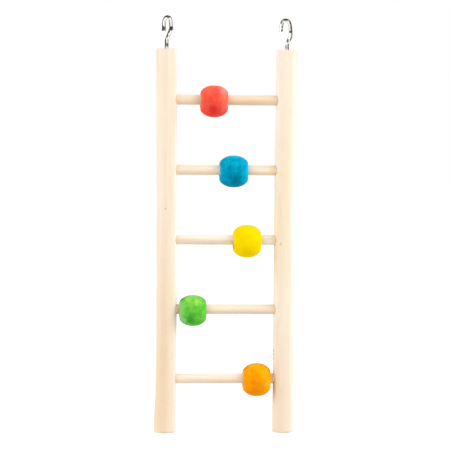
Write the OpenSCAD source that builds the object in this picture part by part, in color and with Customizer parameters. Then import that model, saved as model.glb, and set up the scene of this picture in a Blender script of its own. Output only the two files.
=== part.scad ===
// Hanging bead ladder for a cage bird.
// Two round wooden rails carry five round rungs, glued into blind sockets. A dyed wooden bead
// hangs loosely on each rung and slides from rail to rail. A screw hook of bent wire stands in
// the top of each rail, and the ladder hangs from the two hooks.
// X runs across the ladder, Y through it and Z up, in millimetres. The origin lies on the line
// of the rail feet, half way between the rails.

/* [Rails] */
// Length of each side rail
rail_len = 240; // [225:1:320]
// Diameter of the rail dowel
rail_d = 13; // [11:0.1:18]
// Clear gap between the two rails
rail_gap = 61; // [45:1:100]
// Radius that eases the sawn ends of a rail
rail_ease = 0.5; // [0.2:0.1:1.5]

/* [Rungs] */
// Diameter of the rung dowel
rung_d = 6.3; // [5:0.1:7.5]
// Height from one rung to the next, centre to centre
rung_pitch = 43.7; // [30:0.1:48]
// Distance of the top rung's centre below the rail tops
top_drop = 31.4; // [26:0.1:45]
// Depth of the socket that holds a rung end
socket_depth = 7; // [4:0.1:9.5]
// Chamfer round a rung end
rung_chamfer = 0.6; // [0.2:0.1:1.5]

/* [Beads] */
// Nominal diameter of a bead
bead_d = 19.6; // [16:0.1:24]
// Nominal length of a bead along its rung
bead_len = 17.7; // [13:0.1:22]
// Diameter of a bead's flat ends
bead_flat = 11.2; // [10.2:0.1:13]
// Width of the straight band round a bead's middle
bead_band = 1.6; // [0.4:0.1:4]
// Diameter of the hole through a bead
bead_bore = 8.2; // [7.8:0.1:8.8]
// Chamfer round the edge of a bead's flat end
bead_ease = 0.7; // [0.2:0.1:1]
// Chamfer at the mouths of a bead's hole
bore_chamfer = 0.3; // [0.1:0.1:0.6]
// Most that a bead's diameter is over or under the nominal one
spread_d = 0.7; // [0:0.1:1]
// Most that a bead's length is over or under the nominal one
spread_len = 0.8; // [0:0.1:1]

/* [Where the beads stand] */
// Place of each bead from the top down, from -1 against the left rail to 1 against the right rail
bead_place = [-0.36, 0.23, 0.64, -0.94, 0.95]; // [-1:0.01:1]

/* [Hooks] */
// Diameter of the hook wire
wire_d = 2.4; // [1.8:0.1:3]
// Radius of a hook's crown, to the middle of the wire
crown_r = 2.4; // [2.2:0.05:3.5]
// Turn of the gentle bend on either side of a hook's crown
flank_turn = 14.1; // [5:0.1:15.5]
// Radius of the gentle bend between a hook's crown and its tip, to the middle of the wire
tip_flank_r = 10; // [4:1:20]
// Outward lean of a hook's tip
tip_lean = 3.4; // [0:0.1:10]
// Slope of the wire between knee and elbow, from upright
hook_slope = 26; // [24:1:35]
// Radius of the knee and elbow bends, to the middle of the wire
bend_r = 3; // [2:0.1:4.5]
// Length of the screw inside the rail
screw_len = 15; // [8:0.5:18]
// Length of the screw's point
point_len = 3; // [1.5:0.1:5]

/* [Left hook] */
// Height of the left hook above its rail
left_rise = 20.9; // [20:0.1:26]
// Height of the left hook's knee above its rail
left_knee = 5.6; // [3:0.1:6.5]
// Sideways reach of the left hook's long leg from its screw
left_reach = 3.4; // [2:0.1:3.8]
// Radius of the gentle bend between the left hook's long leg and its crown
left_flank_r = 15; // [8:1:18]
// Length of the left hook's tip below the middle of its crown
left_tip = 6.3; // [3:0.1:8]
// Turn of the left hook about its screw
left_turn = 35; // [-180:1:180]

/* [Right hook] */
// Height of the right hook above its rail
right_rise = 19.7; // [18.6:0.1:26]
// Height of the right hook's knee above its rail
right_knee = 3.9; // [2:0.1:5]
// Sideways reach of the right hook's long leg from its screw
right_reach = 2.2; // [1.8:0.1:2.7]
// Radius of the gentle bend between the right hook's long leg and its crown
right_flank_r = 26; // [8:1:30]
// Length of the right hook's tip below the middle of its crown
right_tip = 4.7; // [3.5:0.1:8]
// Turn of the right hook about its screw
right_turn = 0; // [-180:1:180]

/* [Fits] */
// Room for glue round a rung end
glue_gap = 0.05; // [0.02:0.01:0.2]
// Space between a rung's top and the bead that hangs on it
hang_gap = 0.1; // [0.05:0.05:0.3]
// Space left between a bead and a rail at the end of its slide
end_gap = 0.2; // [0.1:0.1:1]
// Room round a hook's screw
screw_gap = 0.05; // [0.02:0.01:0.2]

/* [Hidden] */
$fn = 96;

left = -1;
right = 1;
rail_x = (rail_gap + rail_d) / 2;
rung_len = rail_gap + 2 * socket_depth;
rung_count = 5;

// Each bead left the lathe a little over or under its nominal size: its share of the spread,
// from the top bead down
share_d = [-0.3, -0.15, 0.7, -0.85, 1];
share_len = [-0.1, 1, 0.6, 0, 0.1];

wood = [0.95, 0.87, 0.74];
rung_wood = [0.92, 0.80, 0.64];
bead_colour = [
    [0.92, 0.26, 0.20],
    [0.02, 0.55, 0.75],
    [0.96, 0.84, 0.05],
    [0.33, 0.75, 0.22],
    [0.98, 0.62, 0.04]
];
bright_wire = [0.78, 0.78, 0.78];

// A length to the nearest thousandth, so that an arc and the straight it runs into share a point
function to_micron(length) = round(length * 1000) / 1000;

// Height of rung i above the rail feet, counted from 0 at the top
function rung_z(i) = rail_len - top_drop - i * rung_pitch;

// Size and place of bead i, counted from 0 at the top
function this_bead_d(i) = bead_d + share_d[i] * spread_d;
function this_bead_len(i) = bead_len + share_len[i] * spread_len;
function bead_travel(i) = (rail_gap - this_bead_len(i)) / 2 - end_gap;
function bead_x(i) = bead_place[i] * bead_travel(i);
function bead_z(i) = rung_z(i) - (bead_bore - rung_d) / 2 + hang_gap;

// A dowel along Z with eased ends: a profile of squares and corner circles, turned once round
module eased_dowel(d, len, ease) {
    rotate_extrude() {
        square([d / 2 - ease, len]);
        translate([0, ease])
            square([d / 2, len - 2 * ease]);
        for (z = [ease, len - ease])
            translate([d / 2 - ease, z])
                circle(r = ease);
    }
}

// Rail on one side, drilled for its rungs and for the screw of its hook
module rail(side) {
    color(wood)
        translate([side * rail_x, 0, 0])
            difference() {
                eased_dowel(rail_d, rail_len, rail_ease);
                for (i = [0 : rung_count - 1])
                    translate([-side * rail_d / 2, 0, rung_z(i)])
                        rotate([0, side * 90, 0])
                            socket();
                translate([0, 0, rail_len])
                    pilot_hole();
            }
}

// Blind hole for a rung end, along +Z from the rail's inner edge
module socket() {
    over = rail_d / 2;
    translate([0, 0, -over])
        cylinder(d = rung_d + 2 * glue_gap, h = over + socket_depth);
}

// Hole down from the rail's top in the form of the screw, with the same room all round
module pilot_hole() {
    over = rail_ease;
    translate([0, 0, -(screw_len - point_len)])
        cylinder(d = wire_d + 2 * screw_gap, h = screw_len - point_len + over);
    translate([0, 0, -screw_len - screw_gap])
        cylinder(d1 = 0, d2 = wire_d + 2 * screw_gap, h = point_len + screw_gap);
}

// Rung i, a dowel along X with chamfered ends
module rung(i) {
    color(rung_wood)
        translate([-rung_len / 2, 0, rung_z(i)])
            rotate([0, 90, 0]) {
                cylinder(d1 = rung_d - 2 * rung_chamfer, d2 = rung_d, h = rung_chamfer);
                translate([0, 0, rung_chamfer])
                    cylinder(d = rung_d, h = rung_len - 2 * rung_chamfer);
                translate([0, 0, rung_len - rung_chamfer])
                    cylinder(d1 = rung_d, d2 = rung_d - 2 * rung_chamfer, h = rung_chamfer);
            }
}

// One end of a bead's outline, with the bead's axis along Y and its middle at y = 0.
// The straight band runs into a shoulder arc, tangent to it, that comes down to the flat end.
// The blunt edge between shoulder and flat end is chamfered at half the turn it makes.
module bead_half_outline(d, len) {
    r = d / 2;
    half = len / 2;
    band = bead_band / 2;
    flat_r = bead_flat / 2;
    run = half - band;
    fall = r - flat_r;
    shoulder_r = to_micron((run * run + fall * fall) / (2 * fall));
    shoulder_x = r - shoulder_r;
    edge_turn = atan2(flat_r - shoulder_x, run);
    difference() {
        union() {
            square([r, band]);
            intersection() {
                translate([shoulder_x, band])
                    circle(r = shoulder_r);
                translate([0, band])
                    square([d, run]);
            }
        }
        translate([flat_r - bead_ease, half])
            rotate(-edge_turn / 2)
                translate([-bead_ease, 0])
                    square([6 * bead_ease, 3 * bead_ease]);
    }
}

// The hole's outline, with chamfered mouths
module bore_outline(len) {
    bore_r = bead_bore / 2;
    half = len / 2;
    translate([0, -half])
        square([bore_r, len]);
    for (end = [0, 1])
        mirror([0, end])
            polygon([
                [0, half - bore_chamfer],
                [bore_r, half - bore_chamfer],
                [bore_r + bore_chamfer, half],
                [0, half]
            ]);
}

// Bead i, turned about its own axis, then laid along its rung and hung on it
module bead(i) {
    color(bead_colour[i])
        translate([bead_x(i), 0, bead_z(i)])
            rotate([0, 90, 0])
                rotate_extrude()
                    difference() {
                        for (end = [0, 1])
                            mirror([0, end])
                                bead_half_outline(this_bead_d(i), this_bead_len(i));
                        bore_outline(this_bead_len(i));
                    }
}

// Wire bent step by step from where it stands, first along +Z. A step [length] is a straight
// run. A step [radius, angle] is a bend to -X, or to +X where the angle is below zero.
module bent_wire(steps, i = 0) {
    if (i < len(steps)) {
        step = steps[i];
        if (len(step) == 1) {
            cylinder(d = wire_d, h = step[0]);
            translate([0, 0, step[0]])
                bent_wire(steps, i + 1);
        } else {
            turn = step[1] < 0 ? -1 : 1;
            mirror([turn < 0 ? 1 : 0, 0, 0])
                translate([-step[0], 0, 0])
                    rotate([90, 0, 0])
                        rotate_extrude(angle = abs(step[1]))
                            translate([step[0], 0])
                                circle(d = wire_d);
            translate([-turn * step[0], 0, 0])
                rotate([0, -step[1], 0])
                    translate([turn * step[0], 0, 0])
                        bent_wire(steps, i + 1);
        }
    }
}

// Screw hook, standing at the origin: a pointed screw below, and above it the wire bent out to
// the long leg, over the crown and down to the tip. The crown is a close bend with a gentle one
// on either side of it.
module screw_hook(rise, knee, reach, flank_r, tip) {
    tangent = bend_r * tan(hook_slope / 2);
    elbow = knee + reach / tan(hook_slope);
    crown = rise - wire_d / 2 - crown_r;
    leg_end = crown - (flank_r - crown_r) * sin(flank_turn);
    crown_lean = tip_lean + flank_turn;
    tip_drop = tip + crown_r * sin(crown_lean) - tip_flank_r * (sin(crown_lean) - sin(tip_lean));
    color(bright_wire) {
        translate([0, 0, -screw_len])
            cylinder(d1 = 0, d2 = wire_d, h = point_len);
        translate([0, 0, point_len - screw_len])
            bent_wire([
                [screw_len - point_len + knee - tangent],
                [bend_r, -hook_slope],
                [reach / sin(hook_slope) - 2 * tangent],
                [bend_r, hook_slope],
                [leg_end - elbow - tangent],
                [flank_r, flank_turn],
                [crown_r, 180 - flank_turn - crown_lean],
                [tip_flank_r, flank_turn],
                [tip_drop / cos(tip_lean)]
            ]);
    }
}

// Hook in its rail, turned about its screw
module hook_on(side, turn, rise, knee, reach, flank_r, tip) {
    translate([side * rail_x, 0, rail_len])
        rotate([0, 0, turn])
            screw_hook(rise, knee, reach, flank_r, tip);
}

module left_hook() {
    hook_on(left, left_turn, left_rise, left_knee, left_reach, left_flank_r, left_tip);
}

module right_hook() {
    hook_on(right, right_turn, right_rise, right_knee, right_reach, right_flank_r, right_tip);
}

rail(left);  // left_rail
rail(right);  // right_rail
for (i = [0 : rung_count - 1])
    rung(i);
bead(0);  // red_bead
bead(1);  // blue_bead
bead(2);  // yellow_bead
bead(3);  // green_bead
bead(4);  // orange_bead
left_hook();
right_hook();
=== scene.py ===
"""A hanging wooden bead ladder for a cage bird.

Two dowel rails carry five rungs. A dyed wooden bead hangs on each rung, and a screw hook of
bent wire stands in the top of each rail. Lengths are in metres, and those written in
millimetres are multiplied by MM.
"""
import math

import bpy
import numpy as np
from mathutils import Matrix, Vector


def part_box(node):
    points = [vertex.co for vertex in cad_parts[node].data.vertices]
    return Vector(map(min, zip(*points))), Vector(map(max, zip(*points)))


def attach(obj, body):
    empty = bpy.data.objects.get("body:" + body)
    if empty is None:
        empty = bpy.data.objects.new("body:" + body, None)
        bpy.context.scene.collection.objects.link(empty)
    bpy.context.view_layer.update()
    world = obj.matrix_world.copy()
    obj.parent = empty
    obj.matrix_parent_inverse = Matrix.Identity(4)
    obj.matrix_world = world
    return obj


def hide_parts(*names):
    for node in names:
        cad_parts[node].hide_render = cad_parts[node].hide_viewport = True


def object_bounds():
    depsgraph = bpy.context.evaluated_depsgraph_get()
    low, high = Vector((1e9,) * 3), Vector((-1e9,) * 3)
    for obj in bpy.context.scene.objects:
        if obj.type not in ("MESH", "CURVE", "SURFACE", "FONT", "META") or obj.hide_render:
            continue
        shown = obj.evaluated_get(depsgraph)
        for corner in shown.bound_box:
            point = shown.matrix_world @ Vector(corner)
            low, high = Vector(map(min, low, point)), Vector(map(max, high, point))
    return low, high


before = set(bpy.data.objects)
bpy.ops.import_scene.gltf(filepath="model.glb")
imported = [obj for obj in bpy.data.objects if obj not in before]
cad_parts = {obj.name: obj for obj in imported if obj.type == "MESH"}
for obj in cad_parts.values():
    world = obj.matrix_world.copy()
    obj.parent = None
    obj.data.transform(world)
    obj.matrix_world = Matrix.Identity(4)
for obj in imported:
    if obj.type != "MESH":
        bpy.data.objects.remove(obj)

cad_lowest, cad_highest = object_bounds()

MM = 0.001
FULL_TURN = 2 * math.pi

# What the pieces are called
RAILS = {"left_rail": -1, "right_rail": 1}
RUNGS = ["rung_1", "rung_2", "rung_3", "rung_4", "rung_5"]
BEADS = ["red_bead", "blue_bead", "yellow_bead", "green_bead", "orange_bead"]

# Sizes of the rails, rungs and screws that their boxes don't tell
RAIL_EASE = 0.5 * MM
SCREW_LENGTH = 15 * MM
SCREW_POINT = 3 * MM
WIRE_RADIUS = 1.2 * MM
SCREW_ROOM = 0.05 * MM
SOCKET_LIP = 0.6 * MM
RUNG_CHAMFER = 0.6 * MM
RUNG_SOCKET = 7 * MM

# How deep the broken lip round each rung's socket is. The left rail's drill broke out less
SOCKET_DIPS = {"left_rail": 0.25 * MM, "right_rail": 0.9 * MM}

# How the dowels have warped: heights, and the shift along X at each, in millimetres
RAIL_BOWS = {
    "left_rail": (
        [0, 20, 55, 80, 130, 170, 210, 240],
        [-0.15, 0.1, 0.3, 0.25, 0.05, -0.1, -0.42, -0.62],
    ),
    "right_rail": (
        [0, 40, 100, 140, 180, 200, 240],
        [0.0, 0.1, 0.0, -0.08, 0.15, 0.42, 0.5],
    ),
}

# How far the foot of each rail has swollen outwards, and the heights between which that fades
FOOT_SWELLINGS = {"left_rail": 0.5 * MM, "right_rail": 0.0}
SWELLING_FADE = (8 * MM, 27 * MM)

# The rounded mouth of the screw's hole: how far outside the hole and how deep each ring of it is
MOUTH_OUT = [0.3 * MM, 0.1 * MM, 0.0]
MOUTH_DEPTH = [0.0, 0.05 * MM, 0.25 * MM]

# How far up from the foot and down from the top the browner colour of the sawn ends reaches, which
# at the foot is partly painted shade along its edge, and how far clear of its sockets a rung is
# browned by glue and handling, which is partly painted shade where it meets the rails
FOOT_RIM = 0.9 * MM
TOP_RIM = 0.35 * MM
HANDLED_AND_SHADED_REACH = 3 * MM

# How uneven the sander left each kind of piece, to either side of its mean, the length over which
# that wanders, and its seeds
RAIL_WEAR = 0.03 * MM
RUNG_WEAR = 0.02 * MM
BEAD_WEAR = 0.04 * MM
RAIL_RIPPLE = 9 * MM
RUNG_RIPPLE = 5 * MM
BEAD_RIPPLE = 3 * MM
RAIL_SEED = 7
RUNG_SEED = 1
BEAD_SEED = 20

# Sizes of the beads that their boxes don't tell
BEAD_FLAT_RADIUS = 5.6 * MM
BEAD_HALF_BAND = 0.8 * MM
BEAD_BORE_RADIUS = 4.1 * MM
BEAD_SOFT_EDGE = 0.85 * MM
BEAD_SWELL = 0.25 * MM
BEAD_TRIMS = {
    "red_bead": 0.1 * MM, "blue_bead": 0.25 * MM, "yellow_bead": 0.15 * MM,
    "green_bead": 0.3 * MM, "orange_bead": 0.05 * MM,
}

# How wide the pale rim of a bead's flat ends is, which is partly a painted sheen, and where the
# bare wood of the bore fades out
BEAD_RIM = 0.55 * MM
BORE_FADE = (BEAD_BORE_RADIUS + 0.1 * MM, BEAD_BORE_RADIUS + 0.6 * MM)

# Bends of the hooks. The crown lies between a gentle bend of the leg and one of the tip
CROWN_RADIUS = 2.4 * MM
FLANK_TURN = math.radians(14.1)
TIP_FLANK_RADIUS = 10 * MM
TIP_LEAN = math.radians(3.4)
HOOK_SLOPE = math.radians(26)
BEND_RADIUS = 3 * MM

# Rise is the hook's height over the rail. The slope starts at the height of knee and leads aside
# by reach. Flank is the radius of the leg's gentle bend, and the wire ends by tip below the
# crown's middle
HOOKS = {
    "left_hook": {
        "rail": "left_rail", "turn": math.radians(35),
        "form": {
            "rise": 20.9 * MM, "knee": 5.6 * MM, "reach": 3.4 * MM,
            "flank": 15 * MM, "tip": 6.3 * MM,
        },
    },
    "right_hook": {
        "rail": "right_rail", "turn": 0.0,
        "form": {
            "rise": 19.7 * MM, "knee": 3.9 * MM, "reach": 2.2 * MM,
            "flank": 26 * MM, "tip": 4.7 * MM,
        },
    },
}

# The thread of the screws, which the rails hide: its pitch, the radius of its core, and the
# lengths along the wire between which it starts and ends
THREAD_PITCH = 1.1 * MM
THREAD_CORE = 0.8 * MM
THREAD_START = (0.8 * MM, 2 * MM)
THREAD_END = (SCREW_LENGTH - 3.2 * MM, SCREW_LENGTH - 2 * MM)

# How far the cut end of a hook's tip is eased
CUT_EASE = 0.18 * MM

# How fine the surfaces are: columns go round a piece, and rings follow each other along it
RAIL_COLUMNS = 120
RAIL_RINGS = 300
RINGS_AT_RUNG = 50
FLAT_RINGS = 12
EDGE_RINGS = 9
POINT_RINGS = 6
RUNG_COLUMNS = 72
RUNG_RINGS = 160
RUNG_FACE_RINGS = 6
BEAD_COLUMNS = 144
BEAD_RINGS = 168
WIRE_COLUMNS = 40
WIRE_STEP = 0.1 * MM

# How much a rail's columns crowd towards the other rail, and how near to the middle of each rung
# its rings crowd, because of the broken lips
CROWDING = 0.6
RUNG_REACH = 4.2 * MM


# Surfaces

def middle(node):
    """The middle of a CAD node's box."""
    lowest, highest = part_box(node)
    return (lowest + highest) / 2


def skin(name, rings, closed=False):
    """A mesh object over rings[i, j], where ring i is a loop of points and joins ring i + 1.

    Its quads are the corners (i, j), (i, j+1), (i+1, j+1), (i+1, j). With closed the last ring
    joins the first. Otherwise the first and last ring each close on the mean of their points.
    """
    count, columns, _ = rings.shape
    last = count if closed else count - 1
    i, j = np.meshgrid(np.arange(last), np.arange(columns), indexing="ij")
    up = (i + 1) % count
    on = (j + 1) % columns
    quads = np.stack([i * columns + j, i * columns + on, up * columns + on, up * columns + j], axis=-1)
    faces = quads.reshape(-1, 4).tolist()
    points = rings.reshape(-1, 3)
    if not closed:
        poles = np.stack([rings[0].mean(axis=0), rings[-1].mean(axis=0)])
        points = np.concatenate([points, poles])
        j = np.arange(columns)
        on = (j + 1) % columns
        foot = np.full(columns, count * columns)
        start = (count - 1) * columns
        faces += np.stack([foot, on, j], axis=-1).tolist()
        faces += np.stack([foot + 1, start + j, start + on], axis=-1).tolist()
    mesh = bpy.data.meshes.new(name)
    mesh.from_pydata(points, [], faces)
    mesh.polygons.foreach_set("use_smooth", np.ones(len(mesh.polygons), bool))
    mesh.update()
    piece = bpy.data.objects.new(name, mesh)
    bpy.context.scene.collection.objects.link(piece)
    return piece


def give(piece, name, rings, kind="FLOAT"):
    """Gives each point of a skin its own value, and each pole the mean of the ring it closes."""
    mesh = piece.data
    values = rings.reshape(len(rings), rings.shape[1], -1)
    flat = values.reshape(-1, values.shape[-1])
    if len(mesh.vertices) > len(flat):
        flat = np.concatenate([flat, values[0].mean(axis=0)[None], values[-1].mean(axis=0)[None]])
    layer = mesh.attributes.new(name, kind, "POINT")
    key = "value" if kind == "FLOAT" else "vector"
    layer.data.foreach_set(key, flat.astype(np.float32).ravel())


def ripple(seed, *coordinates):
    """A smooth wandering value from -1 to 1: the mean of six sines over the coordinates, each
    with its own seeded steps and start."""
    dice = np.random.default_rng(seed)
    total = 0
    for _ in range(6):
        phase = dice.uniform(0, FULL_TURN)
        for coordinate in coordinates:
            phase = phase + coordinate * dice.uniform(0.5, 2.5) * dice.choice([-1, 1])
        total = total + np.sin(phase)
    return total / 6


def ripple_round(seed, along, angles, busy):
    """A ripple over a turned surface, by how far each ring is along it and by the sine and the
    cosine of each column's angle, times busy."""
    return ripple(seed, along[:, None], busy * np.cos(angles), busy * np.sin(angles))


def ease(value, low, high):
    """0 at low and 1 at high, with level ends: 3t^2 - 2t^3 of the share t between them."""
    t = np.clip((value - low) / (high - low), 0, 1)
    return t * t * (3 - 2 * t)


def along_x(rings):
    """Rings round +Z laid down round +X, by passing each axis on to the next."""
    return rings[..., [2, 0, 1]]


def turned(heights, radii, angles):
    """Rings round +Z: the point (i, j) is at radii[i, j] from the axis, at angles[j], at heights[i]."""
    z = np.broadcast_to(heights, radii.shape)
    return np.stack([radii * np.cos(angles), radii * np.sin(angles), z], axis=-1)


# Rails

def rail_outline(radius, length, stops):
    """Radius and height of each ring, from the foot's middle to the bottom of the screw's hole.

    The foot and the top are flat, their edges are quarter circles, and the side has a ring at
    each of the stops. The mouth of the hole is rounded, and its bottom is pointed.
    """
    flat = radius - RAIL_EASE
    hole = WIRE_RADIUS + SCREW_ROOM
    quarter = np.linspace(0, math.pi / 2, EDGE_RINGS)
    foot_r = np.linspace(0.1, 0.97, FLAT_RINGS) * flat
    edge_r = flat + RAIL_EASE * np.sin(quarter)
    edge_z = RAIL_EASE * (1 - np.cos(quarter))
    mouth_r = hole + np.array(MOUTH_OUT)
    mouth_z = length - np.array(MOUTH_DEPTH)
    top_r = np.linspace(0.97 * flat, mouth_r[0], FLAT_RINGS)[:-1]
    below_mouth = 0.6 * MM
    shaft_z = length - np.linspace(below_mouth, SCREW_LENGTH - SCREW_POINT, FLAT_RINGS)
    point_r = hole * np.linspace(1, 0.03, POINT_RINGS)[1:]
    point_z = length - SCREW_LENGTH + SCREW_POINT * np.linspace(1, 0, POINT_RINGS)[1:]
    r = np.concatenate([
        foot_r, edge_r, np.full(len(stops), radius), edge_r[::-1],
        top_r, mouth_r, np.full(len(shaft_z), hole), point_r])
    z = np.concatenate([
        np.zeros(len(foot_r)), edge_z, stops, length - edge_z[::-1],
        np.full(len(top_r), length), mouth_z, shaft_z, point_z])
    return r, z


def rail_bow(node, height):
    """How far a rail has warped along X at a height, in straight lines from one listed height to
    the next. Their corners are far too blunt to be seen."""
    heights, shifts = RAIL_BOWS[node]
    return np.interp(height, np.array(heights) * MM, np.array(shifts) * MM)


def socket_lips(rings, side, on_side):
    """How much of the broken lip round a rung's socket each point has: 1 from the rung's surface
    inwards, eased to 0 at SOCKET_LIP out from it, on the half that faces the other rail."""
    rung_lowest, rung_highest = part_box("rung_1")
    rung_radius = (rung_highest.z - rung_lowest.z) / 2
    facing = (rings[..., 0] * side < 0) & on_side[:, None]
    lips = np.zeros(rings.shape[:2])
    for rung in RUNGS:
        away = np.hypot(rings[..., 1], rings[..., 2] - middle(rung).z)
        lip = 1 - ease(away, rung_radius, rung_radius + SOCKET_LIP)
        lips = np.maximum(lips, np.where(facing, lip, 0))
    return lips


def make_rail(node, side):
    """A dowel with eased ends, a hole in its top for the screw and a broken lip round each rung.

    Its columns crowd towards the other rail, at the angle t - CROWDING sin t from it, and its
    rings crowd at the rungs. Rings in the same hundredth of a millimetre are one. The sander took
    off up to twice RAIL_WEAR. Sawn is 1 on the cut ends and in a thin band round each end, which at
    the foot is partly painted shade along its edge, and lip is 1 where a socket broke deepest.
    """
    lowest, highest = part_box(node)
    radius = (highest.y - lowest.y) / 2
    length = highest.z - lowest.z
    t = np.linspace(0, FULL_TURN, RAIL_COLUMNS, endpoint=False)
    angles = t - CROWDING * np.sin(t) + (math.pi if side > 0 else 0)
    rung_heights = np.array([middle(rung).z for rung in RUNGS])
    at_rungs = rung_heights[:, None] + np.linspace(-RUNG_REACH, RUNG_REACH, RINGS_AT_RUNG)
    even = np.linspace(RAIL_EASE, length - RAIL_EASE, RAIL_RINGS)[1:-1]
    stops = np.unique(np.round(np.concatenate([even, at_rungs.ravel()]), 5))
    r, z = rail_outline(radius, length, stops)
    rings = turned(z[:, None], np.broadcast_to(r[:, None], (len(r), len(t))), angles)
    on_side = (z > RAIL_EASE) & (z < length - RAIL_EASE) & (r > 0.99 * radius)
    uneven = ripple_round(RAIL_SEED + side, z / RAIL_RIPPLE, angles, 2)
    worn = np.where(on_side[:, None], RAIL_WEAR * (1 + uneven), 0)
    rings[..., :2] *= (1 - worn / radius)[..., None]
    lips = socket_lips(rings, side, on_side)
    rings[..., 0] += side * SOCKET_DIPS[node] * lips
    swelling = FOOT_SWELLINGS[node] * (1 - ease(z, *SWELLING_FADE)) * (r > 0.9 * radius)
    rings[..., 0] += side * swelling[:, None] * np.clip(side * np.cos(angles), 0, 1)
    centre = middle(node)
    rings[..., 0] += centre.x + rail_bow(node, z)[:, None]
    rings[..., 1] += centre.y
    piece = skin(f"{node}_dowel", rings)
    rim = 1 - np.minimum(ease(z, 0.0, FOOT_RIM), ease(length - z, 0.0, TOP_RIM))
    sawn = np.where(r < 0.9 * radius, 1.0, rim)
    give(piece, "sawn", np.broadcast_to(sawn[:, None], rings.shape[:2]))
    give(piece, "lip", lips * SOCKET_DIPS[node] / max(SOCKET_DIPS.values()))
    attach(piece, "frame")
    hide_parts(node)
    return piece


# Rungs

def make_rung(node, seed):
    """A plain dowel along X with chamfered ends, a hair thinner where the sander passed.

    The handled value is 1 inside the sockets and eases to 0 at the handled reach clear of them.
    It browns the rung for glue and handling, and partly paints shade where the rung meets the rails.
    """
    lowest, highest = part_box(node)
    radius = (highest.z - lowest.z) / 2
    half = (highest.x - lowest.x) / 2
    angles = np.linspace(0, FULL_TURN, RUNG_COLUMNS, endpoint=False)
    side = np.linspace(RUNG_CHAMFER - half, half - RUNG_CHAMFER, RUNG_RINGS)
    face = np.append(np.linspace(0.1, 0.95, RUNG_FACE_RINGS), 1) * (radius - RUNG_CHAMFER)
    r = np.concatenate([face, np.full(len(side), radius), face[::-1]])
    x = np.concatenate([np.full(len(face), -half), side, np.full(len(face), half)])
    uneven = ripple_round(seed, x / RUNG_RIPPLE, angles, 1)
    radii = r[:, None] - np.where(r[:, None] == radius, RUNG_WEAR * (1 + uneven), 0)
    rings = along_x(turned(x[:, None], radii, angles)) + np.array(middle(node))
    piece = skin(f"{node}_dowel", rings)
    handled_and_shaded = 1 - ease(half - RUNG_SOCKET - np.abs(x), 0, HANDLED_AND_SHADED_REACH)
    give(piece, "handled_and_shaded", np.broadcast_to(handled_and_shaded[:, None], radii.shape))
    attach(piece, "frame")
    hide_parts(node)
    return piece


# Beads

def bead_outline(radius, half, count):
    """Height and radius of points round half a bead's cut face, evenly spaced along it.

    A straight band at the middle runs into a shoulder arc, which comes down to the flat end, and
    the bore runs back. A blur along the closed line then rounds each edge: each frequency of the
    line is multiplied by e to the power of -2 (pi times frequency times BEAD_SOFT_EDGE) squared.
    """
    run = half - BEAD_HALF_BAND
    fall = radius - BEAD_FLAT_RADIUS
    shoulder = (run * run + fall * fall) / (2 * fall)
    turn = math.asin(run / shoulder)
    arc = np.linspace(0, turn, 90)
    arc_z = BEAD_HALF_BAND + shoulder * np.sin(arc)
    arc_r = radius - shoulder + shoulder * np.cos(arc)
    z = np.concatenate([-arc_z[::-1], arc_z, [half, -half]])
    r = np.concatenate([arc_r[::-1], arc_r, [BEAD_BORE_RADIUS, BEAD_BORE_RADIUS]])
    z = np.append(z, z[0])
    r = np.append(r, r[0])
    way = np.concatenate([[0], np.cumsum(np.hypot(np.diff(z), np.diff(r)))])
    finer = 8
    fine = np.linspace(0, way[-1], finer * count, endpoint=False)
    line = np.interp(fine, way, z) + 1j * np.interp(fine, way, r)
    steps = np.fft.fftfreq(len(line), way[-1] / len(line))
    blur = np.exp(-2 * (math.pi * steps * BEAD_SOFT_EDGE) ** 2)
    line = np.fft.ifft(np.fft.fft(line) * blur)[::finer]
    return line.real, line.imag


def make_bead(node, seed):
    """The bead's outline turned round its bore, a little out of round and brushed by sanding.

    Turned beads differ a little: each is cut short at both ends, and a touch fuller at its middle.
    Rim is 1 on the edge of each flat end, and bore is 1 inside the bore.
    """
    lowest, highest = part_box(node)
    radius = (highest.z - lowest.z) / 2
    half = (highest.x - lowest.x) / 2 - BEAD_TRIMS[node]
    angles = np.linspace(0, FULL_TURN, BEAD_COLUMNS, endpoint=False)
    z, r = bead_outline(radius, half, BEAD_RINGS)
    outside = ease(r, BEAD_BORE_RADIUS + 0.5 * MM, BEAD_FLAT_RADIUS)
    uneven = ripple_round(seed, z / BEAD_RIPPLE, angles, 1.5)
    radii = r[:, None] + outside[:, None] * (BEAD_SWELL + BEAD_WEAR * uneven)
    rings = along_x(turned(z[:, None], radii, angles))
    piece = skin(f"{node}_turned", rings + np.array(middle(node)), closed=True)
    at_ends = ease(np.abs(z), 0.8 * half, 0.95 * half)
    rim = np.exp(-((r - BEAD_FLAT_RADIUS) / BEAD_RIM) ** 2) * at_ends
    inside = 1 - ease(r, *BORE_FADE)
    give(piece, "rim", np.broadcast_to(rim[:, None], radii.shape))
    give(piece, "bore", np.broadcast_to(inside[:, None], radii.shape))
    give(piece, "own_place", rings, "FLOAT_VECTOR")
    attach(piece, node)
    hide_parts(node)
    return piece


# Hooks

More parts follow.
